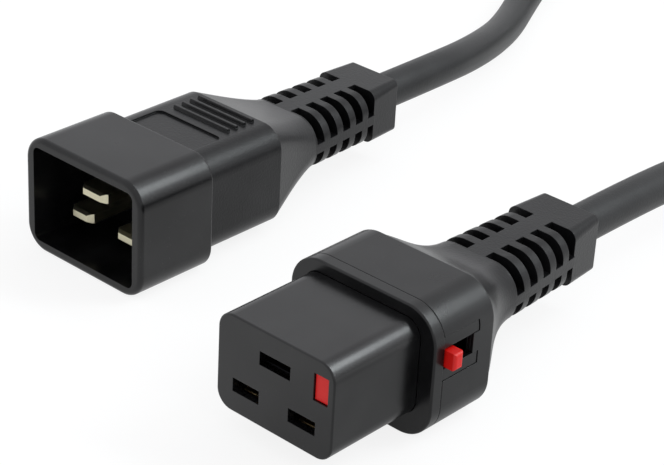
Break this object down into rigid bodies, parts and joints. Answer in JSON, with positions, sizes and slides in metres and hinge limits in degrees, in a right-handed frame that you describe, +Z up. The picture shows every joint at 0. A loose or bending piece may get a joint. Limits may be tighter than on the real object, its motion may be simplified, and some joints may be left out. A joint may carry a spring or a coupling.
{
  "type": "locking power connector lead",
  "caption": "Black locking power connector with a red release button, on a lead with a slotted strain relief, a cable coil and the mating-style plug at its other end.",
  "frame": {"origin": "centre of the connector's mating face, midway between the earth slot and the line and neutral slots", "axes": "+Y from the mating face towards the cable, +Z up with the earth slot uppermost, +X to the side of the release button"},
  "size_m": [0.129, 0.3455, 0.0257],
  "materials": {
    "hard_black": "smooth satin black",
    "soft_black": "matte black",
    "jacket": "matte grey-black",
    "red": "satin red",
    "contact_brass": "bright",
    "pin_nickel": "nickel plated",
    "spring_steel": "plain",
    "earth_core": "green and yellow",
    "line_core": "brown",
    "neutral_core": "blue",
    "strap": "woven black"
  },
  "bodies": {
    "connector": {"nose_shell": "hard_black", "contact_block": "hard_black", "earth_grip_plate": "spring_steel", "lock_spring": "spring_steel", "collar_bezel": "hard_black", "collar_housing": "hard_black", "slide_cover": "hard_black", "strain_relief_boot": "soft_black", "cable_end": "jacket", "earth_contact": "contact_brass", "line_contact": "contact_brass", "neutral_contact": "contact_brass", "earth_wire": "earth_core", "line_wire": "line_core", "neutral_wire": "neutral_core", "plug_shroud": "hard_black", "plug_pin_carrier": "hard_black", "plug_body": "soft_black", "plug_cable_end": "jacket", "plug_pin_earth": "pin_nickel", "plug_pin_line": "pin_nickel", "plug_pin_neutral": "pin_nickel", "plug_wire_earth": "earth_core", "plug_wire_line": "line_core", "plug_wire_neutral": "neutral_core", "cord_lead": "jacket", "cord_coil": "jacket", "cord_tail": "jacket", "coil_tie": "strap"},
    "lock": {"lock_slide": "red"}
  },
  "joints": [
    {"name": "lock_release", "type": "slide", "parent": "connector", "child": "lock", "axis": [0, 1, 0], "range_m": [0, 0.005], "stiffness_N_per_m": 300, "springref_m": -0.006, "deforming": ["lock_spring"]}
  ]
}
